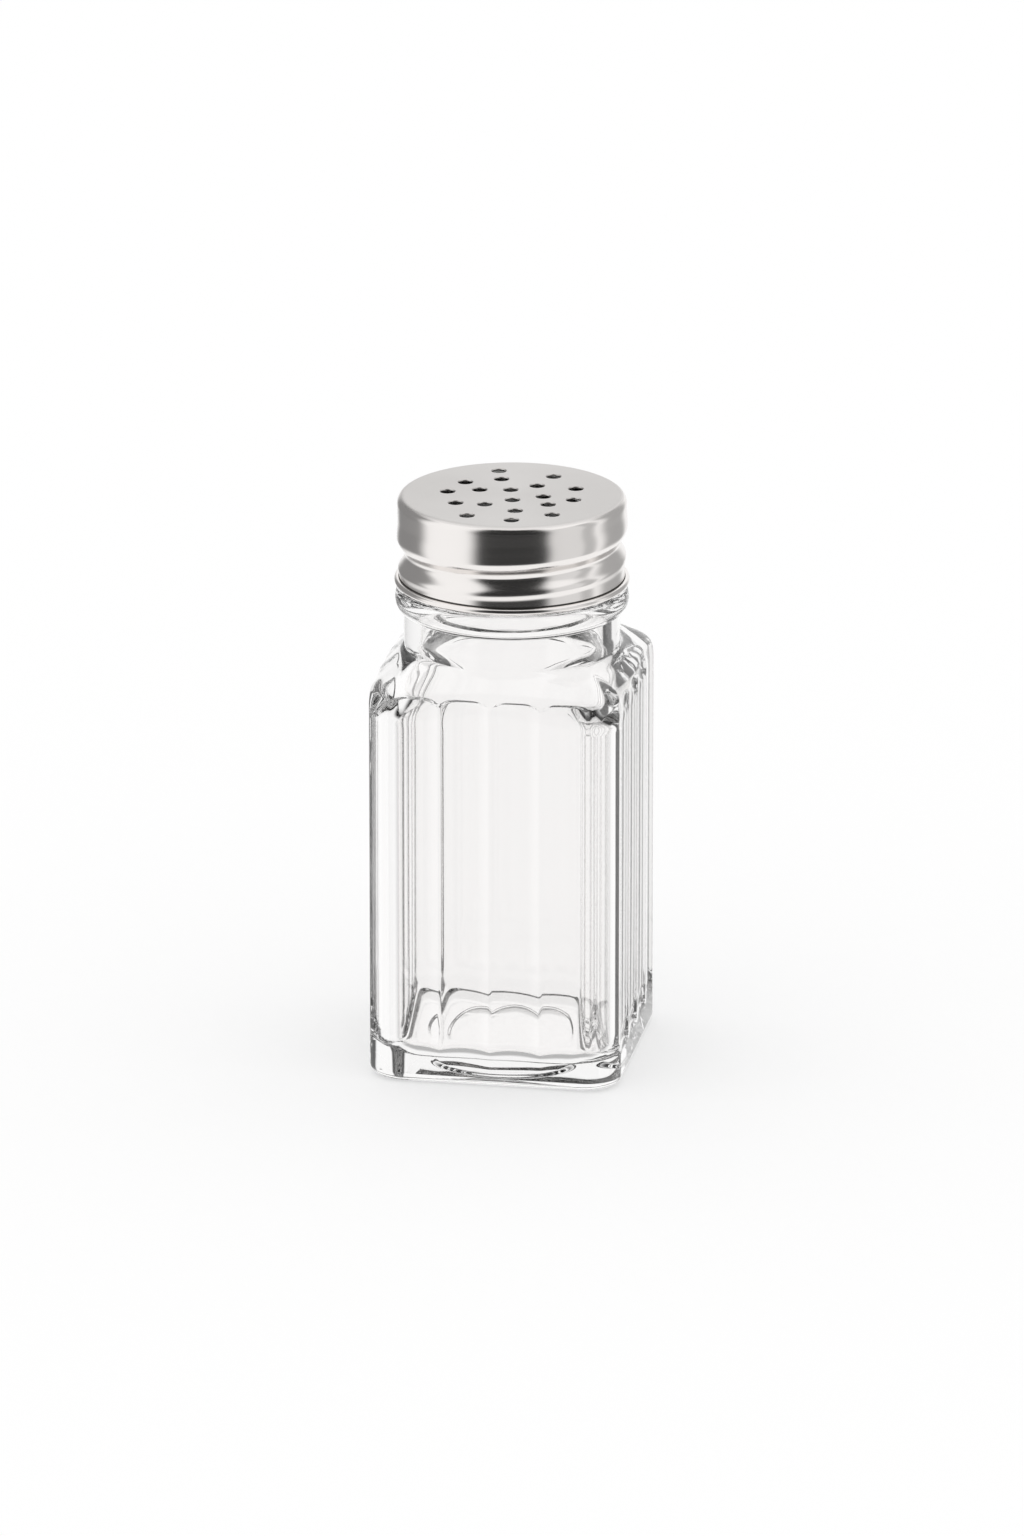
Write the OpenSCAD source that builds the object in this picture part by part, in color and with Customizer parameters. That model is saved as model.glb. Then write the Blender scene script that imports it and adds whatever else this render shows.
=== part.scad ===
// Square fluted glass shaker jar with a perforated screw cap of sheet steel.
// Millimetres, +Z up, origin on the table under the middle of the jar, front face towards -Y.

/* [Jar body] */
// Width of the square body across its flat sides
body_w = 60; // [57:0.5:70]
// Radius of the upright corners
corner_r = 8; // [6:0.5:10]
// Height at which the shoulder starts to turn in
body_h = 91; // [75:1:120]
// Rounding along the bottom edge
foot_round = 2.5; // [1:0.25:3]
// Width of one upright flute between its two cusps
flute_w = 12; // [11:0.25:12.5]
// Flutes on each side
flutes = 4; // [2:1:4]
// Depth of a flute at its middle
flute_depth = 0.8; // [0.4:0.1:1.2]
// Height of the plain heel below the flutes
heel_h = 9.5; // [6:0.5:14]
// Height over which a flute runs out above the heel
flute_runout = 3; // [1.5:0.5:6]

/* [Jar inside] */
// Thickness of the glass at the sides
wall = 3.75; // [3:0.25:4.5]
// Thickness of the glass base
base_t = 5; // [4:0.2:8]
// Rounding where the floor meets the walls
floor_round = 6.7; // [4:0.1:8]
// Thickness of the glass from the finish to the bore
rim_w = 3.3; // [2.6:0.1:4.2]
// Radius of the round recess under the base
recess_r = 18; // [10:0.5:20]
// Depth of the recess under the base
recess_depth = 0.8; // [0.4:0.1:1.5]

/* [Shoulder and neck] */
// Height of the shoulder
shoulder_h = 10.3; // [9:0.1:14]
// How far the plain neck stands out beyond the finish
neck_out = 0.8; // [0.4:0.1:1.2]
// Height of the plain neck below the bead
neck_h = 8; // [5:0.5:12]
// Height of the rounded bead
bead_h = 5.5; // [4:0.5:8]
// How far the bead stands out from the neck
bead_out = 2; // [1:0.1:2.4]
// Small step where the shoulder meets the neck
neck_step = 0.3; // [0.2:0.05:0.6]

/* [Threaded finish] */
// Radius of the finish between the thread turns
finish_r = 24.6; // [24.2:0.1:24.8]
// Height of the finish from the bead to the rim
finish_h = 20.3; // [19.8:0.1:22]
// Rounding of the rim
rim_round = 1; // [0.5:0.1:1.4]
// How far the glass thread stands out
thread_out = 1.55; // [1:0.05:1.7]
// Width of the glass thread at its foot
thread_w = 2.4; // [1.8:0.1:2.8]
// Width of the glass thread at its crest
thread_crest_w = 1.1; // [0.8:0.1:1.4]
// Rise of the thread in one turn
thread_lead = 6; // [5.5:0.1:6.5]

/* [Cap] */
// Height of the cap over everything
cap_h = 21.2; // [20.9:0.1:21.4]
// Thickness of the sheet steel
sheet = 0.5; // [0.4:0.05:0.6]
// Outside radius of the bend round the top
cap_corner_r = 1.95; // [1.6:0.05:2.4]
// How far the rolled thread stands out beyond the plain wall
roll_out = 0.25; // [0.1:0.05:0.3]
// How far the skirt below the thread lies inside the plain wall
skirt_in = 0.2; // [0:0.05:0.25]
// Diameter of the curl at the hem
curl_d = 1.4; // [1.2:0.1:1.8]
// Diameter of a perforation
hole_d = 3.1; // [2:0.1:3.4]
// Turn of the hole pattern and of the rolled thread about the axis
cap_angle = 11; // [0:1:359]

/* [Fits] */
// Clearance between the glass thread and the plain wall of the cap
thread_gap = 0.3; // [0.25:0.05:0.5]
// Clearance between the rolled thread and the foot of the glass thread
root_gap = 0.5; // [0.3:0.05:0.7]
// Thickness of the sealing ring
liner_t = 0.8; // [0.5:0.1:1.2]
// Width of the sealing ring
liner_w = 2.9; // [2:0.1:3]
// Clearance on each face of the sealing ring
seat_gap = 0.15; // [0.1:0.05:0.2]

/* [Hidden] */
$fn = 96;

overrun = 0.5;   // how far one solid runs into the next, or a cut runs past a face

// Radii of the neck, and places up the axis, each from the one below it
neck_r = finish_r + neck_out;
bore_r = finish_r - rim_w;
neck_z = body_h + shoulder_h;
bead_z = neck_z + neck_h;
finish_z = bead_z + bead_h;
rim_z = finish_z + finish_h;
liner_z = rim_z + seat_gap;
cap_under_z = liner_z + liner_t + seat_gap;
top_z = cap_under_z + sheet;
hem_z = top_z - cap_h;

// Jar body
half_w = body_w / 2;
flutes_w = flutes * flute_w;
flute_steps = 6;                       // facets across one flute
corner_steps = 8;                      // facets round one corner
foot_steps = 4;                        // rings up the rounded foot
shoulder_steps = 16;                   // rings up the shoulder
straight = half_w - corner_r;
column_step = flute_w / flute_steps;
columns = floor(straight / column_step - 1 / flute_steps);
side_columns = concat([-straight], [for (k = [-columns:columns]) k * column_step], [straight]);

// Inside of the jar
cavity_half = half_w - wall;
cavity_corner_r = floor_round + wall / 5;
cavity_steps = 8;                      // facets along a side, round a corner and up the floor
cavity_straight = cavity_half - cavity_corner_r;
cavity_columns = [for (k = [-cavity_steps / 2:cavity_steps / 2]) k * cavity_straight * 2 / cavity_steps];
cavity_ledge = 0.15;                   // step where the inside of the shoulder meets the bore
cavity_body_z = body_h - wall;         // the inside turns in below the outside
cavity_top_z = neck_z - wall * 2 / 3;

// Cap, fitted round the glass thread
cap_in_r = finish_r + thread_out + thread_gap;
cap_r = cap_in_r + sheet;
flat_r = cap_r - cap_corner_r;
roll_r = cap_r + roll_out;
groove_depth = roll_r - sheet - finish_r - root_gap;
skirt_r = cap_r - skirt_in;
curl_r = curl_d / 2;
curl_centre_r = skirt_r + curl_r - sheet / 5;

// Rolled thread: height of its middle at cap_angle, turns from its lower end, and runout
groove_z = hem_z + curl_d * 3 + thread_lead * 0.9;
groove_turns = 1.25;
groove_fade_share = 0.18;              // part of a turn over which each end runs out
groove_above_share = 0.2;              // part of a turn that lies beyond cap_angle

// Wall of the cap as a mesh, with both ends sunk in the turned parts above and below
wall_columns = 64;
wall_rows = 16;
weld = sheet / 7;
wall_low_z = hem_z + curl_d;
skirt_top_z = wall_low_z + overrun;
band_low_z = top_z - cap_corner_r - thread_lead / 2;
wall_top_z = band_low_z + overrun;

// Places of the perforations as shares of the flat top's radius, right and back
hole_places_shares = [
    [-0.11, 0.75], [-0.09, 0.49], [0.40, 0.56], [-0.43, 0.40], [0.24, 0.27],
    [-0.30, 0.16], [-0.01, 0.15], [0.60, 0.17], [-0.60, 0.11], [0.29, -0.07],
    [0.00, -0.17], [0.57, -0.18], [-0.53, -0.25], [-0.26, -0.30], [0.33, -0.32],
    [0.02, -0.51], [-0.43, -0.65], [0.36, -0.64], [-0.02, -0.80]];

// A point turned by a number of right angles
function quarter(q, p) =
    q == 0 ? p : q == 1 ? [-p.y, p.x] : q == 2 ? [-p.x, -p.y] : [p.y, -p.x];

// Rounded square, anticlockwise, with all its sides drawn in by inset
function square_ring(half, r, inset, places, steps) = [
    for (q = [0:3]) each concat(
        [for (y = places) quarter(q, [half - inset, y])],
        [for (k = [1:steps - 1]) let (a = 90 * k / steps)
            quarter(q, [half - r, half - r] + (r - inset) * [cos(a), sin(a)])])];

// A ring of points drawn towards a circle: share 1 keeps it and share 0 is the circle
function toward_circle(ring, r, share) = [for (p = ring) share * p + (1 - share) * r * p / norm(p)];

// How deep the flutes cut at a distance along a side
function flute_cut(along, share) = abs(along) >= flutes_w / 2 ? 0
    : let (m = ((along + flutes_w / 2) % flute_w) / flute_w * 2 - 1) share * flute_depth * (1 - m * m);

// The outside of the jar at one height
function jar_ring(z, inset, square_share, flute_share) =
    let (plain = square_ring(half_w, corner_r, inset, side_columns, corner_steps),
         drawn = toward_circle(plain, neck_r + neck_step, square_share))
    [for (i = [0:len(plain) - 1])
        [sign(drawn[i].x) * min(abs(drawn[i].x), half_w - flute_cut(plain[i].y, flute_share)),
         sign(drawn[i].y) * min(abs(drawn[i].y), half_w - flute_cut(plain[i].x, flute_share)), z]];

jar_rings = concat(
    [jar_ring(-overrun, foot_round, 1, 0)],
    [for (k = [0:foot_steps]) let (a = 90 * k / foot_steps)
        jar_ring(foot_round * (1 - cos(a)), foot_round * (1 - sin(a)), 1, 0)],
    [for (t = [0, 1 / 3, 2 / 3, 1]) jar_ring(heel_h + flute_runout * t, 0, 1, sin(90 * t))],
    [for (k = [0:shoulder_steps]) let (a = 90 * k / shoulder_steps)
        jar_ring(body_h + shoulder_h * sin(a), 0, cos(a), 1)]);

// The inside of the jar at one height
function cavity_ring(z, inset, share) =
    [for (p = toward_circle(
        square_ring(cavity_half, cavity_corner_r, inset, cavity_columns, cavity_steps),
        bore_r + cavity_ledge, share)) [p.x, p.y, z]];

cavity_rings = concat(
    [for (k = [0:cavity_steps]) let (a = 90 * k / cavity_steps)
        cavity_ring(base_t + floor_round * (1 - cos(a)), floor_round * (1 - sin(a)), 1)],
    [for (k = [0:cavity_steps]) let (a = 90 * k / cavity_steps)
        cavity_ring(cavity_body_z + (cavity_top_z - cavity_body_z) * sin(a), 0, cos(a))]);

// A closed solid through rings of points stacked upwards
module skin(rings) {
    n = len(rings[0]);
    last = len(rings) - 1;
    points = concat([for (ring = rings) each ring], [[0, 0, rings[0][0].z], [0, 0, rings[last][0].z]]);
    faces = concat(
        [for (i = [0:last - 1], j = [0:n - 1]) let (k = (j + 1) % n)
            each [[i * n + j, (i + 1) * n + j, (i + 1) * n + k], [i * n + j, (i + 1) * n + k, i * n + k]]],
        [for (j = [0:n - 1]) [len(points) - 2, j, (j + 1) % n]],
        [for (j = [0:n - 1]) [len(points) - 1, last * n + (j + 1) % n, last * n + j]]);
    polyhedron(points, faces, convexity = 6);
}

// A closed solid along sections of radius and height set at turning angles; looped joins the ends
module turned_sweep(sections, angles, looped) {
    n = len(sections);
    m = len(sections[0]);
    points = [for (i = [0:n - 1], p = sections[i]) [p.x * cos(angles[i]), p.x * sin(angles[i]), p.y]];
    sides = [for (i = [0:looped ? n - 1 : n - 2], j = [0:m - 1])
        let (i2 = (i + 1) % n, j2 = (j + 1) % m)
        each [[i * m + j, i * m + j2, i2 * m + j2], [i * m + j, i2 * m + j2, i2 * m + j]]];
    ends = looped ? [] : [for (j = [1:m - 2])
        each [[0, j + 1, j], [(n - 1) * m, (n - 1) * m + j, (n - 1) * m + j + 1]]];
    polyhedron(points, concat(sides, ends), convexity = 6);
}

// Height of the rolled thread's middle, some turns from cap_angle
function groove_height(turns) = groove_z + thread_lead * turns;

// How fully the rolled thread is formed, some turns from cap_angle
function groove_share(turns) =
    let (from_top = groove_above_share - turns, from_low = groove_turns - from_top,
         t = min(1, max(0, min(from_top, from_low) / groove_fade_share)))
    (1 - cos(180 * t)) / 2;

// Outside radius of the cap's wall at an angle from cap_angle, in turns, and a height
function wall_radius(turn, z) =
    let (t = min(1, max(0, (z - skirt_top_z) / thread_lead)),
         plain = skirt_r + (cap_r - skirt_r) * t,
         ends = min(1, max(0, (z - skirt_top_z) / overrun), max(0, (band_low_z - z) / overrun)),
         parts = [for (n = [-2:1]) let (gap = (z - groove_height(turn + n)) / (thread_lead / 2))
             abs(gap) < 1 ? groove_share(turn + n) * (1 + cos(180 * gap)) / 2 : 0],
         near = [for (n = [-2:1]) let (gap = (z - groove_height(turn + n)) / thread_lead)
             abs(gap) < 1 ? groove_share(turn + n) * (1 - abs(gap)) : 0])
    plain + ends * (roll_out * min(1, 2 * max(near)) - groove_depth * max(parts));

wall_turns = [for (i = [0:wall_columns - 1]) i / wall_columns];
wall_heights = concat([wall_low_z],
    [for (k = [0:wall_rows]) skirt_top_z + (band_low_z - skirt_top_z) * k / wall_rows], [wall_top_z]);
wall_sections = [for (turn = wall_turns) concat(
    [for (z = wall_heights) [wall_radius(turn, z) - weld, z]],
    [for (k = [len(wall_heights) - 1:-1:0]) let (z = wall_heights[k])
        [wall_radius(turn, z) - sheet + weld, z]])];

// The glass thread lies midway between two turns of the rolled thread, half a lead above it
glass_steps = 36;
glass_turns = groove_turns + 0.1;
glass_angles = [for (k = [0:glass_steps * glass_turns])
    360 * (k / glass_steps + groove_above_share - groove_turns)];
function glass_section(angle) =
    let (turns = angle / 360, run = turns - (groove_above_share - groove_turns),
         t = min(1, max(0, min(run, glass_turns - run) * glass_steps / 4)),
         out = finish_r - overrun / 2 + (thread_out + overrun / 2) * t,
         z = groove_height(turns) + thread_lead / 2)
    [[finish_r - overrun, z - thread_w / 2], [out, z - thread_crest_w / 2],
     [out, z + thread_crest_w / 2], [finish_r - overrun, z + thread_w / 2]];

// Outline of the neck, the bead and the finish, radius and height
neck_outline = concat(
    [[0, neck_z - overrun * 4], [neck_r, neck_z - overrun * 4]],
    [for (k = [0:12]) let (a = -90 + 15 * k)
        [neck_r + bead_out * cos(a), bead_z + bead_h / 2 * (1 + sin(a))]],
    [[finish_r, finish_z]],
    [for (k = [0:4]) let (a = 22.5 * k)
        [finish_r - rim_round * (1 - cos(a)), rim_z - rim_round * (1 - sin(a))]],
    [[0, rim_z]]);

// Section of the cap's flat top, its bend and the band below it
module cap_top_section() {
    polygon(concat(
        [[0, top_z]],
        [for (k = [0:8]) let (a = 90 - 11.25 * k)
            [flat_r + cap_corner_r * cos(a), top_z - cap_corner_r * (1 - sin(a))]],
        [[cap_r, band_low_z], [cap_in_r, band_low_z]],
        [for (k = [0:8]) let (a = 11.25 * k)
            [flat_r + (cap_corner_r - sheet) * cos(a), top_z - cap_corner_r + (cap_corner_r - sheet) * sin(a)]],
        [[0, cap_under_z]]));
}

// Clear glass jar: square fluted body, round neck with a bead, and a threaded finish
module glass_jar() {
    color("lightcyan", 0.5)
    difference() {
        union() {
            skin(jar_rings);
            rotate_extrude() polygon(neck_outline);
            rotate([0, 0, cap_angle])
                turned_sweep([for (a = glass_angles) glass_section(a)], glass_angles, false);
        }
        skin(cavity_rings);
        translate([0, 0, cavity_top_z - overrun])
            cylinder(r = bore_r, h = rim_z - cavity_top_z + overrun * 2);
        translate([-body_w, -body_w, -body_w]) cube([body_w * 2, body_w * 2, body_w]);
        translate([0, 0, -overrun]) cylinder(r = recess_r, h = recess_depth + overrun);
    }
}

// Flat ring between the rim of the jar and the underside of the cap
module sealing_ring() {
    color("white")
    translate([0, 0, liner_z])
    difference() {
        cylinder(r = finish_r, h = liner_t);
        translate([0, 0, -overrun]) cylinder(r = finish_r - liner_w, h = liner_t + overrun * 2);
    }
}

// Perforated cap of satin sheet steel with a rolled thread and an outward curl at the hem
module cap_shell() {
    color("silver")
    rotate([0, 0, cap_angle])
    difference() {
        union() {
            rotate_extrude() cap_top_section();
            turned_sweep(wall_sections, [for (turn = wall_turns) 360 * turn], true);
            rotate_extrude() {
                translate([curl_centre_r, hem_z + curl_r]) circle(r = curl_r);
                translate([skirt_r - sheet, hem_z + curl_r]) square([sheet, skirt_top_z - hem_z - curl_r]);
            }
        }
        for (place = hole_places_shares)
            translate([place.x * flat_r, place.y * flat_r, cap_under_z - overrun])
                cylinder(d = hole_d, h = sheet + overrun * 2);
    }
}

glass_jar();
sealing_ring();
cap_shell();
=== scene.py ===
import math

import bmesh
import bpy
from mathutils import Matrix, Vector


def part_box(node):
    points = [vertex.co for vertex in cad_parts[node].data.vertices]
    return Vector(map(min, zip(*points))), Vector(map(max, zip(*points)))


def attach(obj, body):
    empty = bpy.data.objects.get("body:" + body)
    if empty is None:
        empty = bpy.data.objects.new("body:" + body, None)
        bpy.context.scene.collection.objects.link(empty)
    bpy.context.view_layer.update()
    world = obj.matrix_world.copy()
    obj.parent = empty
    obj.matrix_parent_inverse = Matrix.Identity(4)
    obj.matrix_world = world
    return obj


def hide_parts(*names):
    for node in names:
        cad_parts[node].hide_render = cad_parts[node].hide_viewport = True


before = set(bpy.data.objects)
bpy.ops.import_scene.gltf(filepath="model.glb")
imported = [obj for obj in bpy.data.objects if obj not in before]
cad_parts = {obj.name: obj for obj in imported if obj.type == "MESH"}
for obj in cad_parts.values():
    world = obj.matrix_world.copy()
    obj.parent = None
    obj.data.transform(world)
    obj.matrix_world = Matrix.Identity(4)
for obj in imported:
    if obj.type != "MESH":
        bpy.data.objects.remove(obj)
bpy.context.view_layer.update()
MM = 0.001

# Camera. The photograph looks down on the shaker's front and a little on its right side,
# from about 3 m through a long lens, so upright edges stay nearly parallel.
view_turn = math.radians(10)
view_drop = math.radians(18.5)
view_distance = 3.0
view_centre = Vector((0, 0, 69.3 * MM))
lens_length_mm = 299
sensor_width_mm = 36
toward_camera = Vector((math.sin(view_turn) * math.cos(view_drop),
                        -math.cos(view_turn) * math.cos(view_drop),
                        math.sin(view_drop)))
bpy.ops.object.camera_add(location=view_centre + toward_camera * view_distance)
camera = bpy.context.object
camera.rotation_euler = (-toward_camera).to_track_quat("-Z", "Y").to_euler()
camera.data.lens = lens_length_mm
camera.data.sensor_width = sensor_width_mm
camera.data.clip_end = 50
bpy.context.scene.camera = camera


# Glass jar. One piece of clear pressed glass: a square fluted body with a thick base,
# a round neck with a bead, and a threaded finish. Its edges are fire-polished, so the
# cusps between the flutes and the arches over them are slightly soft.
jar_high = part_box("glass_jar")[1]
half = jar_high.x
rim_z = jar_high.z
corner_r = 8 * MM
body_z = 91 * MM
shoulder_h = 10.3 * MM
shoulder_bend_z = 94.3 * MM
shoulder_bend_r = 3.5 * MM
shoulder_slope = math.radians(45)
neck_z = body_z + shoulder_h
neck_r = 25.4 * MM
bead_z = neck_z + 8 * MM
bead_h = 5.5 * MM
bead_out = 2 * MM
finish_z = bead_z + bead_h
finish_r = 24.6 * MM
rim_round = 1 * MM
foot_round = 2.5 * MM
recess_r = 18 * MM
recess_soft = 2 * MM
recess_depth = 0.5 * MM
base_t = 5 * MM
floor_round = 5 * MM
inside_half = half - 3.75 * MM
inside_corner_r = 7.45 * MM
bore_r = 21.3 * MM
inside_body_z = body_z - 4 * MM
bore_z = neck_z + 2 * MM
flutes_w = 48 * MM
flute_w = 12 * MM
flute_depth = 0.8 * MM
flute_low_z = 7.5 * MM
flute_runout = 4 * MM
flute_top_z = 94.6 * MM
flute_ledge = 0.8 * MM
flute_arch = 2.4 * MM
neck_fillet = 2.5 * MM
neck_step = 0.3 * MM
bead_fillet = 0.3 * MM
# How far a ring stays beside a bend, how near to a wall a point counts as on it, and how near
# to a height an edge counts as at it
hair = 0.06 * MM
skin = 0.1 * MM
level = 0.01 * MM
thread_foot_z = finish_z + 3 * MM
thread_top_z = rim_z - rim_round - 1 * MM
thread_out = 1.1 * MM
thread_half_w = 1.2 * MM
thread_steepness = 1.8
thread_lead = 6 * MM
thread_turns = 1.3
thread_fade_turns = 0.1
thread_low_turn = -1.05
groove_z = 125.2 * MM
laps = (-2, -1, 0, 1)
cap_angle = math.radians(11)
side_steps = 88
corner_steps = 16
recess_steps = 6
shoulder_steps = 30
arch_steps = 24
bore_steps = 32


def activate(thing):
    """Makes one object the only selected one and the active one."""
    bpy.ops.object.select_all(action="DESELECT")
    thing.select_set(True)
    bpy.context.view_layer.objects.active = thing


def rounded_square(name, reach, radius, z):
    """A loop of edges with round corners, cut into even steps, all selected in edit mode."""
    bpy.ops.object.select_all(action="DESELECT")
    bpy.ops.mesh.primitive_plane_add(size=reach * 2, location=(0, 0, z))
    blank = bpy.context.object
    blank.name = name
    bpy.ops.object.transform_apply(location=True, rotation=True, scale=True)
    bpy.ops.object.mode_set(mode="EDIT")
    bpy.ops.mesh.select_mode(type="VERT")
    bpy.ops.mesh.select_all(action="SELECT")
    bpy.ops.mesh.bevel(affect="VERTICES", offset=radius, segments=corner_steps, profile=0.5)
    bpy.ops.mesh.select_all(action="DESELECT")
    bpy.ops.mesh.select_mode(type="EDGE")
    bm = bmesh.from_edit_mesh(blank.data)
    for edge in sorted(bm.edges, key=lambda e: -e.calc_length())[:4]:
        edge.select_set(True)
    bmesh.update_edit_mesh(blank.data)
    bpy.ops.mesh.subdivide(number_cuts=side_steps - 1)
    bpy.ops.mesh.select_all(action="SELECT")
    bpy.ops.mesh.delete(type="ONLY_FACE")
    bpy.ops.mesh.select_all(action="SELECT")
    return blank


def next_ring(blank, reach, z, roundness=0.0):
    """Extrudes the selected ring, draws it towards a circle by a share of its roundness, and
    brings it to its reach and height."""
    bm = bmesh.from_edit_mesh(blank.data)
    rise = z - next(v.co.z for v in bm.verts if v.select)
    bpy.ops.mesh.extrude_region_move(TRANSFORM_OT_translate={"value": (0, 0, rise)})
    if roundness > 0:
        bpy.ops.transform.tosphere(value=roundness)
    bm = bmesh.from_edit_mesh(blank.data)
    scale = reach / max(v.co.x for v in bm.verts if v.select)
    bpy.ops.transform.resize(value=(scale, scale, 1), center_override=(0, 0, z))


def arc_rings(blank, middle, radii, sweep, steps, first=0):
    """Rings along an arc of the section. Its middle and radii are pairs of a reach and a
    height, and its sweep is in degrees, where 0 is outward and 90 is up."""
    for step in range(first, steps + 1):
        a = math.radians(sweep[0] + (sweep[1] - sweep[0]) * step / steps)
        next_ring(blank, middle[0] + radii[0] * math.cos(a), middle[1] + radii[1] * math.sin(a))


def straight_rings(blank, start, end, steps, first=0):
    """Rings along a straight stretch of the section between two pairs of reach and height."""
    for step in range(first, steps + 1):
        t = step / steps
        next_ring(blank, start[0] + (end[0] - start[0]) * t, start[1] + (end[1] - start[1]) * t)


def rounding_rings(blank, rings):
    """Rings that lose their corners on the way up. Each comes with its reach, its height and
    the share of the square that is left in it."""
    left = 1.0
    for reach, z, share in rings:
        next_ring(blank, reach, z, 1 - share / left)
        left = share


def select_rim(blank, z):
    """Selects the open edges that lie at one height."""
    bpy.ops.mesh.select_all(action="DESELECT")
    bpy.ops.mesh.select_mode(type="EDGE")
    bm = bmesh.from_edit_mesh(blank.data)
    for edge in bm.edges:
        if len(edge.link_faces) == 1 and all(abs(v.co.z - z) < level for v in edge.verts):
            edge.select_set(True)
    bmesh.update_edit_mesh(blank.data)


def wave(t):
    """Rises from 0 to 1 along half a cosine wave."""
    return (1 - math.cos(math.pi * t)) / 2


def shoulder_reach(z):
    """How far the middle of a face reaches at some height of the shoulder: it goes straight
    up, bends in, slopes, and runs into the neck in a fillet."""
    turned_z = shoulder_bend_r * math.sin(shoulder_slope)
    turned_in = shoulder_bend_r * (1 - math.cos(shoulder_slope))
    fillet_in = neck_fillet * (1 - math.cos(shoulder_slope))
    slope_in = half - neck_r - turned_in - fillet_in
    slope_z = slope_in / math.tan(shoulder_slope)
    rise = z - shoulder_bend_z
    if rise < 0:
        return half
    if rise < turned_z:
        return half - shoulder_bend_r + math.sqrt(shoulder_bend_r ** 2 - rise ** 2)
    if rise < turned_z + slope_z:
        return half - turned_in - (rise - turned_z) * math.tan(shoulder_slope)
    left = max(0.0, turned_z + slope_z + neck_fillet * math.sin(shoulder_slope) - rise)
    return neck_r + neck_fillet - math.sqrt(neck_fillet ** 2 - left ** 2)


# Outside, from the recess under the base up to the rim. A ring a hair's breadth beside each
# bend keeps the flat glass next to it flat.
jar = rounded_square("jar", half - foot_round, corner_r - foot_round / 4, 0)
next_ring(jar, half - foot_round - hair, 0)
next_ring(jar, recess_r + hair, 0, 1.0)
for step in range(recess_steps + 1):
    t = step / recess_steps
    next_ring(jar, recess_r - recess_soft * t, recess_depth * wave(t))
for share in (1 / 2, 1 / 16):
    next_ring(jar, recess_r * share, recess_depth)
bpy.ops.mesh.edge_face_add()
select_rim(jar, 0)
arc_rings(jar, (half - foot_round, foot_round), (foot_round, foot_round), (-90, 0), steps=8, first=1)
straight_rings(jar, (half, flute_low_z), (half, flute_low_z + flute_runout), steps=8)
next_ring(jar, half, (foot_round + body_z) / 2)
shoulder_heights = [body_z + shoulder_h * math.sin(math.pi / 2 * step / shoulder_steps)
                    for step in range(shoulder_steps + 1)]
arch_heights = [flute_top_z - flute_arch + (flute_arch + flute_ledge) * step / arch_steps
                for step in range(arch_steps + 1)]
rounding_rings(jar, [(shoulder_reach(z), z, math.sqrt(max(0, 1 - ((z - body_z) / shoulder_h) ** 2)))
                     for z in sorted(shoulder_heights + arch_heights)])
next_ring(jar, neck_r, neck_z + neck_step)
next_ring(jar, neck_r, bead_z - bead_fillet - hair)
arc_rings(jar, (neck_r + bead_fillet, bead_z - bead_fillet), (bead_fillet, bead_fillet),
          (180, 90), steps=6)
arc_rings(jar, (neck_r + bead_fillet, bead_z + bead_h / 2), (bead_out - bead_fillet, bead_h / 2),
          (-90, 90), steps=18, first=1)
next_ring(jar, finish_r + hair, finish_z)
next_ring(jar, finish_r, finish_z + hair)
straight_rings(jar, (finish_r, thread_foot_z), (finish_r, thread_top_z), steps=34)
next_ring(jar, finish_r, rim_z - rim_round - hair)
arc_rings(jar, (finish_r - rim_round, rim_z - rim_round), (rim_round, rim_round), (0, 90), steps=8)
bpy.ops.object.mode_set(mode="OBJECT")

# Inside, from the floor up through the bore to the rim
floor_reach = inside_half - floor_round
inside = rounded_square("jar_inside", floor_reach, inside_corner_r * floor_reach / inside_half, base_t)
next_ring(inside, floor_reach - hair, base_t)
for share in (0.75, 0.5, 0.25, 0.05):
    next_ring(inside, floor_reach * share, base_t, 1 - share)
bpy.ops.mesh.edge_face_add()
select_rim(inside, base_t)
arc_rings(inside, (floor_reach, base_t + floor_round), (floor_round, floor_round), (-90, 0),
          steps=16, first=1)
next_ring(inside, inside_half, base_t + floor_round + hair)
next_ring(inside, inside_half, (base_t + body_z) / 2)
next_ring(inside, inside_half, inside_body_z - hair)
rounding_rings(inside, [(inside_half - (inside_half - bore_r) * wave(step / bore_steps),
                         inside_body_z + (bore_z - inside_body_z) * step / bore_steps,
                         1 - wave(step / bore_steps)) for step in range(bore_steps + 1)])
next_ring(inside, bore_r, rim_z - rim_round - hair)
arc_rings(inside, (bore_r + rim_round, rim_z - rim_round), (rim_round, rim_round), (180, 90), steps=8)
bpy.ops.object.mode_set(mode="OBJECT")

activate(jar)
inside.select_set(True)
bpy.ops.object.join()
bpy.ops.object.mode_set(mode="EDIT")
select_rim(jar, rim_z)
bpy.ops.mesh.fill(use_beauty=False)
bpy.ops.object.mode_set(mode="OBJECT")


def clamp(t):
    """Keeps a number between 0 and 1."""
    return max(0.0, min(1.0, t))


def smooth(t):
    """Rises softly from 0 to 1."""
    t = clamp(t)
    return t * t * (3 - 2 * t)


def flute_cut(along, z):
    """How deep the flutes cut the jar's side at a place along it and a height. A flute's top
    edge falls in an arch toward its two cusps."""
    if abs(along) >= flutes_w / 2:
        return 0.0
    across = (along + flutes_w / 2) % flute_w / flute_w * 2 - 1
    arch = flute_arch * abs(across) ** 5
    ends = smooth((z - flute_low_z) / flute_runout) * smooth((flute_top_z - arch - z) / flute_ledge + 1)
    return flute_depth * (1 - across ** 2) * ends


def turn_share(x, y):
    """The share of a full turn from the cap's angle round to a point."""
    return ((math.atan2(y, x) - cap_angle) / math.tau) % 1.0


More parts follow.
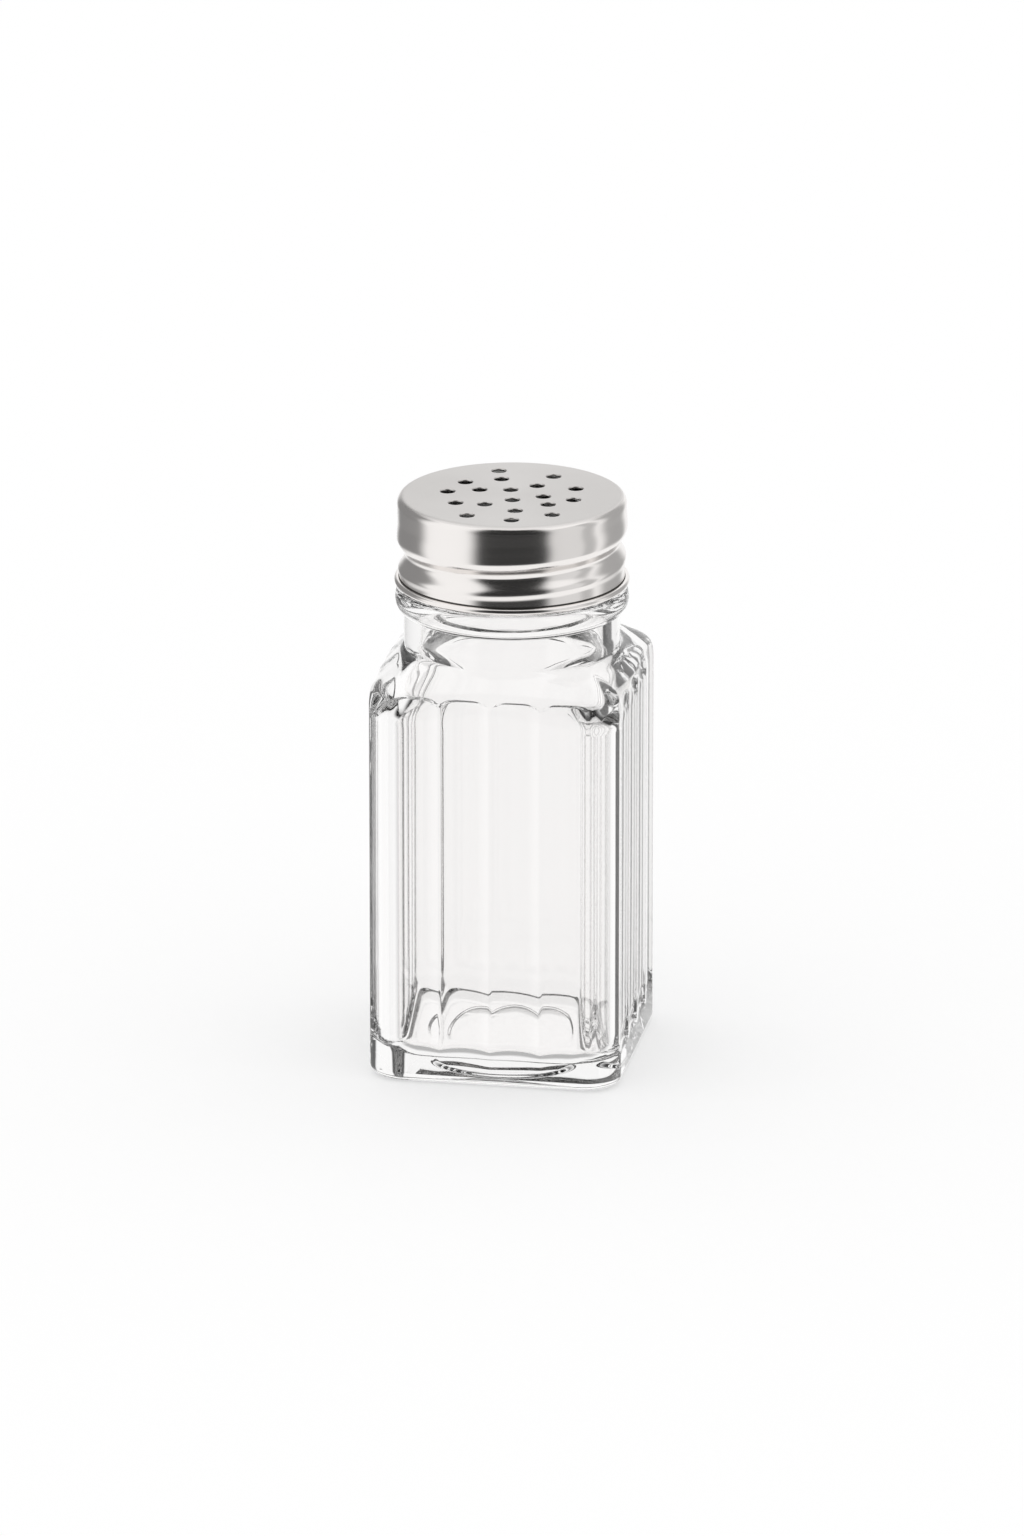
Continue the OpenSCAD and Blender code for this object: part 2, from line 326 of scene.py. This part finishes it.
def thread_rise(turn, z):
    """How far the glass thread stands out at a share of a turn and a height."""
    rise = 0.0
    for lap in laps:
        run = turn + lap - thread_low_turn
        fade = clamp(min(run, thread_turns - run) / thread_fade_turns)
        gap = abs(z - groove_z - thread_lead * (turn + lap + 0.5)) / thread_half_w
        rise = max(rise, fade * thread_out * clamp((1 - gap) * thread_steepness))
    return rise


# The mould presses the flutes into the outside and leaves the thread on the finish
for vert in jar.data.vertices:
    x, y, z = vert.co
    radius = math.hypot(x, y)
    if max(abs(x), abs(y)) > inside_half + skin:
        if abs(x) > abs(y):
            vert.co.x -= math.copysign(flute_cut(half * y / abs(x), z), x)
        else:
            vert.co.y -= math.copysign(flute_cut(half * x / abs(y), z), y)
    if thread_foot_z < z < thread_top_z and radius > finish_r - skin:
        widening = 1 + thread_rise(turn_share(x, y), z) / radius
        vert.co.x *= widening
        vert.co.y *= widening


def face_outward(thing):
    """Turns all the faces of a mesh the same way, outward."""
    activate(thing)
    bpy.ops.object.mode_set(mode="EDIT")
    bpy.ops.mesh.select_all(action="SELECT")
    bpy.ops.mesh.normals_make_consistent(inside=False)
    bpy.ops.object.mode_set(mode="OBJECT")


face_outward(jar)
bpy.ops.object.shade_smooth_by_angle(angle=math.radians(50))


def new_material(name):
    """Makes a material and returns it with its nodes, its links and its main shader."""
    material = bpy.data.materials.new(name)
    material.use_nodes = True
    nodes = material.node_tree.nodes
    return material, nodes, material.node_tree.links, nodes["Principled BSDF"]


def add_relief(material, scale, detail, strength, depth, stretch=None):
    """Gives a material a fine relief of noise that stays with the object."""
    nodes, links = material.node_tree.nodes, material.node_tree.links
    place = nodes.new("ShaderNodeTexCoord").outputs["Object"]
    if stretch:
        stretched = nodes.new("ShaderNodeMapping")
        stretched.inputs["Scale"].default_value = stretch
        links.new(place, stretched.inputs["Vector"])
        place = stretched.outputs["Vector"]
    noise = nodes.new("ShaderNodeTexNoise")
    noise.inputs["Scale"].default_value = scale
    noise.inputs["Detail"].default_value = detail
    bump = nodes.new("ShaderNodeBump")
    bump.inputs["Strength"].default_value = strength
    bump.inputs["Distance"].default_value = depth
    links.new(place, noise.inputs["Vector"])
    links.new(noise.outputs["Fac"], bump.inputs["Height"])
    links.new(bump.outputs["Normal"], nodes["Principled BSDF"].inputs["Normal"])


glass, nodes, links, shader = new_material("clear_pressed_glass")
shader.inputs["Base Color"].default_value = (0.999, 0.992, 0.988, 1)
shader.inputs["Roughness"].default_value = 0.0
shader.inputs["IOR"].default_value = 1.5
shader.inputs["Transmission Weight"].default_value = 1.0
add_relief(glass, scale=45, detail=1, strength=0.15, depth=0.3 * MM)
jar.data.materials.clear()
jar.data.materials.append(glass)
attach(jar, "jar")
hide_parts("glass_jar")


# Cap. One pressing of satin stainless sheet: a flat top with a round edge, a band, a
# rolled-in thread and a hem curled outward. The side is brushed round, the top is dull.
cap_low, cap_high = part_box("cap_shell")
cap_top_z = cap_high.z
cap_columns = 288
cap_r = 26.95 * MM
sheet_t = 0.5 * MM
cap_corner_r = 1.95 * MM
flat_r = cap_r - cap_corner_r
skirt_r = 26.45 * MM
band_r = 26.85 * MM
groove_depth = 1.5 * MM
groove_above = 4.2 * MM
groove_below = 3.3 * MM
bulge_out = 0.3 * MM
roll_out = 0.2 * MM
groove_turns = 1.25
groove_start = 0.2
groove_fade = 0.18
curl_r = 0.3 * MM
curl_z = cap_low.z + curl_r + sheet_t
skirt_z = cap_low.z + 1.9 * MM
skirt_blend = 0.8 * MM
band_blend = 2 * MM
band_low_z = cap_top_z - cap_corner_r
hole_d = 3.4 * MM
lip_r = 0.35 * MM
lip_sink = lip_r * 0.93
lip_steps = 8
lip_step = math.radians(10)

bpy.ops.object.select_all(action="DESELECT")
bpy.ops.mesh.primitive_circle_add(vertices=cap_columns, radius=flat_r - 2 * hair, fill_type="NGON",
                                  location=(0, 0, cap_top_z))
cap = bpy.context.object
cap.name = "cap"
bpy.ops.object.transform_apply(location=True, rotation=True, scale=True)
bpy.ops.object.mode_set(mode="EDIT")
select_rim(cap, cap_top_z)
next_ring(cap, flat_r - hair, cap_top_z)
arc_rings(cap, (flat_r, band_low_z), (band_r - flat_r, cap_corner_r), (90, 0), steps=12)
straight_rings(cap, (band_r, band_low_z), (skirt_r, skirt_z), steps=60, first=1)
arc_rings(cap, (skirt_r + curl_r, curl_z), (curl_r, curl_r), (180, 480), steps=24)
bpy.ops.object.mode_set(mode="OBJECT")


def groove_share(turns):
    """How fully the thread is rolled in, some turns from the pattern's angle."""
    from_top = groove_start - turns
    return wave(clamp(min(from_top, groove_turns - from_top) / groove_fade))


def bump_share(place, middle, reach):
    """A smooth bump: 1 at its middle, and 0 from its reach outward."""
    return 1 - wave(min(1, abs(place - middle) / reach))


# The thread is rolled in, with a small bulge above it and a smaller one below it
for vert in cap.data.vertices:
    x, y, z = vert.co
    if skirt_z < z < band_low_z:
        ends = min(1, (z - skirt_z) / skirt_blend, (band_low_z - z) / band_blend)
        depth = 0.0
        out = 0.0
        for lap in laps:
            turns = turn_share(x, y) + lap
            gap = z - groove_z - thread_lead * turns
            formed = groove_share(turns)
            depth = max(depth, formed * bump_share(gap, 0, groove_above if gap > 0 else groove_below))
            out = max(out, formed * bulge_out * bump_share(gap, groove_above, groove_above),
                      formed * roll_out * bump_share(gap, -groove_below, groove_below / 2))
        widening = 1 + ends * (out - groove_depth * depth) / math.hypot(x, y)
        vert.co.x *= widening
        vert.co.y *= widening

face_outward(cap)
sheet_wall = cap.modifiers.new("sheet", "SOLIDIFY")
sheet_wall.thickness = sheet_t
sheet_wall.offset = -1
bpy.ops.object.modifier_apply(modifier="sheet")

# Perforations, punched down through the flat top, which rolls in a little round each one.
# Their places to the right and to the back are shares of the flat top's radius.
hole_places_shares = [
    (-0.11, 0.75), (-0.09, 0.49), (0.40, 0.56), (-0.43, 0.40), (0.24, 0.27),
    (-0.30, 0.16), (-0.01, 0.15), (0.60, 0.17), (-0.60, 0.11), (0.29, -0.07),
    (0.00, -0.17), (0.57, -0.18), (-0.53, -0.25), (-0.26, -0.30), (0.33, -0.32),
    (0.02, -0.51), (-0.43, -0.65), (0.36, -0.64), (-0.02, -0.80)]
punches = []
for right, back in hole_places_shares:
    x = (right * math.cos(cap_angle) - back * math.sin(cap_angle)) * flat_r
    y = (right * math.sin(cap_angle) + back * math.cos(cap_angle)) * flat_r
    bpy.ops.mesh.primitive_cylinder_add(vertices=40, radius=hole_d / 2, depth=sheet_t * 2,
                                        location=(x, y, cap_top_z - lip_sink - sheet_t))
    bpy.ops.object.mode_set(mode="EDIT")
    bpy.ops.mesh.select_mode(type="FACE")
    bpy.ops.mesh.select_all(action="DESELECT")
    bm = bmesh.from_edit_mesh(bpy.context.object.data)
    for face in bm.faces:
        face.select_set(face.normal.z > 0.9)
    bmesh.update_edit_mesh(bpy.context.object.data)
    # The punch flares at its top along the round lip, and ends just above the steel
    lip_reach = hole_d / 2
    for step in range(1, lip_steps + 1):
        a = lip_step * step
        rise = lip_r * (math.sin(a) - math.sin(a - lip_step))
        bpy.ops.mesh.extrude_region_move(TRANSFORM_OT_translate={"value": (0, 0, rise)})
        scale = (hole_d / 2 + lip_r * (1 - math.cos(a))) / lip_reach
        lip_reach *= scale
        bpy.ops.transform.resize(value=(scale, scale, 1))
    bpy.ops.object.mode_set(mode="OBJECT")
    punches.append(bpy.context.object)
activate(punches[0])
for punch in punches:
    punch.select_set(True)
bpy.ops.object.join()
punch = bpy.context.object
activate(cap)
perforate = cap.modifiers.new("perforations", "BOOLEAN")
perforate.operation = "DIFFERENCE"
perforate.object = punch
perforate.solver = "EXACT"
bpy.ops.object.modifier_apply(modifier="perforations")
bpy.data.objects.remove(punch)
bpy.ops.object.shade_smooth_by_angle(angle=math.radians(16))


def cloudy_tone(material, scale, detail, first, second):
    """Adds a cloudy mix of two colours that stays with the object, and returns its result."""
    nodes, links = material.node_tree.nodes, material.node_tree.links
    place = nodes.new("ShaderNodeTexCoord")
    cloud = nodes.new("ShaderNodeTexNoise")
    cloud.inputs["Scale"].default_value = scale
    cloud.inputs["Detail"].default_value = detail
    mix = nodes.new("ShaderNodeMix")
    mix.data_type = "RGBA"
    mix.inputs["A"].default_value = first
    mix.inputs["B"].default_value = second
    links.new(place.outputs["Object"], cloud.inputs["Vector"])
    links.new(cloud.outputs["Fac"], mix.inputs["Factor"])
    return mix.outputs["Result"]


steel, nodes, links, shader = new_material("satin_steel")
shader.inputs["Metallic"].default_value = 1.0
shader.inputs["Anisotropic"].default_value = 0.5
# The top is made dull all over, down to the start of its round edge, and its steel is painted darker
# than the band's, as painted shade
place = nodes.new("ShaderNodeTexCoord")
split = nodes.new("ShaderNodeSeparateXYZ")
links.new(place.outputs["Object"], split.inputs[0])
dull_and_shaded_top = nodes.new("ShaderNodeMapRange")
dull_and_shaded_top.inputs["From Min"].default_value = cap_top_z - cap_corner_r * 0.3
dull_and_shaded_top.inputs["From Max"].default_value = cap_top_z - cap_corner_r * 0.02
links.new(split.outputs["Z"], dull_and_shaded_top.inputs["Value"])
steel_tone = nodes.new("ShaderNodeMix")
steel_tone.data_type = "RGBA"
steel_tone.inputs["A"].default_value = (0.9, 0.87, 0.85, 1)
# The top's darker colour is painted shade; its cloudiness is random tone
shaded_top_tone = cloudy_tone(steel, 60, 3, (0.6, 0.582, 0.568, 1), (0.67, 0.652, 0.638, 1))
links.new(dull_and_shaded_top.outputs["Result"], steel_tone.inputs["Factor"])
links.new(shaded_top_tone, steel_tone.inputs["B"])
links.new(steel_tone.outputs["Result"], shader.inputs["Base Color"])
gloss = nodes.new("ShaderNodeMapRange")
gloss.inputs["To Min"].default_value = 0.16
gloss.inputs["To Max"].default_value = 0.36
links.new(dull_and_shaded_top.outputs["Result"], gloss.inputs["Value"])
links.new(gloss.outputs["Result"], shader.inputs["Roughness"])
add_relief(steel, scale=1, detail=4, strength=0.2, depth=0.01 * MM, stretch=(60, 60, 4000))

# The inside of the sheet is left dull, and its dark colour is painted shade inside the cap
shaded_inside_steel, nodes, links, shader = new_material("shaded_inside_steel")
shader.inputs["Metallic"].default_value = 1.0
shader.inputs["Roughness"].default_value = 0.5
# A cloudy dark colour: painted shade, not the steel's own colour
painted_shade_tone = cloudy_tone(shaded_inside_steel, 400, 2, (0.07, 0.067, 0.063, 1), (0.12, 0.115, 0.11, 1))
links.new(painted_shade_tone, shader.inputs["Base Color"])
cap.data.materials.clear()
cap.data.materials.append(steel)
cap.data.materials.append(shaded_inside_steel)
# The painted shade goes on the underside of the top, the inner wall below it and the gap behind the
# curl, but not on the walls of the holes
for face in cap.data.polygons:
    x, y, z = face.center
    radius = math.hypot(x, y)
    outward = (face.normal.x * x + face.normal.y * y) / radius
    is_under_top = face.normal.z < -0.5 and z > cap_top_z - sheet_t * 1.5
    is_behind_curl = abs(z - curl_z) < curl_r + sheet_t and radius < skirt_r + skin
    is_inner_wall = outward < -0.2 and z > curl_z and radius > flat_r * 0.98
    if is_under_top or is_behind_curl or is_inner_wall:
        face.material_index = 1
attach(cap, "cap")
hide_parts("cap_shell")


# Sealing ring. A flat ring of soft white plastic, pressed between the jar's rim and the
# underside of the cap; it keeps its simple section and gets a dull, slightly cloudy finish.
ring_plastic, nodes, links, shader = new_material("ring_plastic")
shader.inputs["Base Color"].default_value = (0.86, 0.86, 0.84, 1)
shader.inputs["Roughness"].default_value = 0.45
add_relief(ring_plastic, scale=600, detail=2, strength=0.1, depth=0.05 * MM)
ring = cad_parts["sealing_ring"]
ring.data.materials.clear()
ring.data.materials.append(ring_plastic)


# Studio. A white sheet under the shaker and white all round, with dark cards in front, at the
# sides and overhead. The steel mirrors some of them, and light that leaves the glass meets
# others. The camera sees none.
bpy.ops.mesh.primitive_plane_add(size=12, location=(0, 0, -0.05 * MM))
floor = bpy.context.object
floor.name = "floor"
floor.visible_glossy = False
floor.visible_transmission = False
floor_paint, nodes, links, shader = new_material("floor_paint")
shader.inputs["Base Color"].default_value = (0.45, 0.45, 0.45, 1)
shader.inputs["Roughness"].default_value = 1.0
shader.inputs["Specular IOR Level"].default_value = 0.0
shader.inputs["Emission Color"].default_value = (1, 1, 1, 1)
shader.inputs["Emission Strength"].default_value = 0.55
floor.data.materials.append(floor_paint)

world = bpy.data.worlds.new("studio")
bpy.context.scene.world = world
world.use_nodes = True
nodes, links = world.node_tree.nodes, world.node_tree.links
background = nodes["Background"]
background.inputs["Strength"].default_value = 1.0
direction = nodes.new("ShaderNodeTexCoord").outputs["Generated"]
path = nodes.new("ShaderNodeLightPath")


def number(kind, a, b):
    """Adds a math node to the world and returns its result."""
    node = nodes.new("ShaderNodeMath")
    node.operation = kind
    for socket, value in zip(node.inputs, (a, b)):
        if isinstance(value, (int, float)):
            socket.default_value = value
        else:
            links.new(value, socket)
    return node.outputs[0]


def ramp(value, start, end):
    """Adds a smooth step that rises from 0 at start to 1 at end."""
    node = nodes.new("ShaderNodeMapRange")
    node.interpolation_type = "SMOOTHSTEP"
    node.inputs["From Min"].default_value = start
    node.inputs["From Max"].default_value = end
    links.new(value, node.inputs["Value"])
    return node.outputs["Result"]


def toward(x, y, z):
    """How far the ray's direction runs toward another one."""
    node = nodes.new("ShaderNodeVectorMath")
    node.operation = "DOT_PRODUCT"
    node.inputs[1].default_value = (x, y, z)
    links.new(direction, node.inputs[0])
    return node.outputs["Value"]


def between(angle, low, high, soft):
    """1 where an angle lies between two limits in degrees, 0 outside, and soft at the limits."""
    rise = ramp(angle, math.radians(low - soft), math.radians(low + soft))
    fall = ramp(angle, math.radians(high - soft), math.radians(high + soft))
    return number("MULTIPLY", rise, number("SUBTRACT", 1, fall))


def card(left, right, low, high, soft, strength):
    """A dark card: its sides and its lower and upper edges in degrees, 0 being straight ahead
    of the front, how soft its edges are, and how much of the light it takes away."""
    shape = number("MULTIPLY", between(azimuth, left, right, soft), between(elevation, low, high, soft))
    return number("MULTIPLY", shape, strength)


def darkest(cards):
    """Lays cards over one another."""
    total = cards[0]
    for one in cards[1:]:
        total = number("MAXIMUM", total, one)
    return total


azimuth = number("ARCTAN2", toward(math.cos(view_turn), math.sin(view_turn), 0),
                 toward(math.sin(view_turn), -math.cos(view_turn), 0))
up = toward(0, 0, 1)
elevation = number("ARCSINE", up, 0)
through_glass = path.outputs["Is Transmission Ray"]

# The steel mirrors two wide cards at the front, one of them high, and paler ones at the sides.
# A ray through sharp glass counts as glossy too, and is taken out.
off_steel = number("SUBTRACT", path.outputs["Is Glossy Ray"], through_glass)
steel_cards = darkest([
    card(-39, 39, -30, 2, 8, 0.97), card(-39, 39, -8, 70, 8, 0.99),
    card(-162, -100, -26, 40, 9, 0.75), card(39, 74, -26, 40, 4, 0.25), card(74, 92, -26, 40, 4, 0.5),
    card(104, 150, -26, 40, 9, 0.6)])
steel_card = number("MULTIPLY", steel_cards, off_steel)

# In the glass the dark lines come from light that has bounced inside its walls. One bounce
# meets the front at half strength and two or more meet it in full, which leaves clear faces
# pale. The card overhead darkens all light that leaves upward.
bounced = number("GREATER_THAN", path.outputs["Glossy Depth"], 0.5)
bounced_twice = number("GREATER_THAN", path.outputs["Glossy Depth"], 1.5)
front_share = number("ADD", number("MULTIPLY", bounced, 0.5), number("MULTIPLY", bounced_twice, 0.5))
away = toward(-math.sin(view_turn), math.cos(view_turn), 0)
front_card = number("MULTIPLY", front_share, number("SUBTRACT", 1, ramp(away, -0.1, 0.3)))
side_card = number("MULTIPLY", bounced, card(127, 150, -40, 40, 3, 0.9))
high_card = ramp(up, 0.5, 0.7)
glass_card = number("MULTIPLY", darkest([front_card, side_card, high_card]), through_glass)

tone = nodes.new("ShaderNodeMix")
tone.data_type = "RGBA"
tone.inputs["A"].default_value = (1, 1, 1, 1)
tone.inputs["B"].default_value = (0.01, 0.01, 0.01, 1)
links.new(number("MAXIMUM", steel_card, glass_card), tone.inputs["Factor"])
links.new(tone.outputs["Result"], background.inputs["Color"])

bpy.context.scene.view_settings.view_transform = "Standard"
# Light runs a long way along the inside of the glass walls before it leaves them
most_bounces = 64
bpy.context.scene.cycles.max_bounces = most_bounces
bpy.context.scene.cycles.transmission_bounces = most_bounces
bpy.context.scene.cycles.glossy_bounces = most_bounces
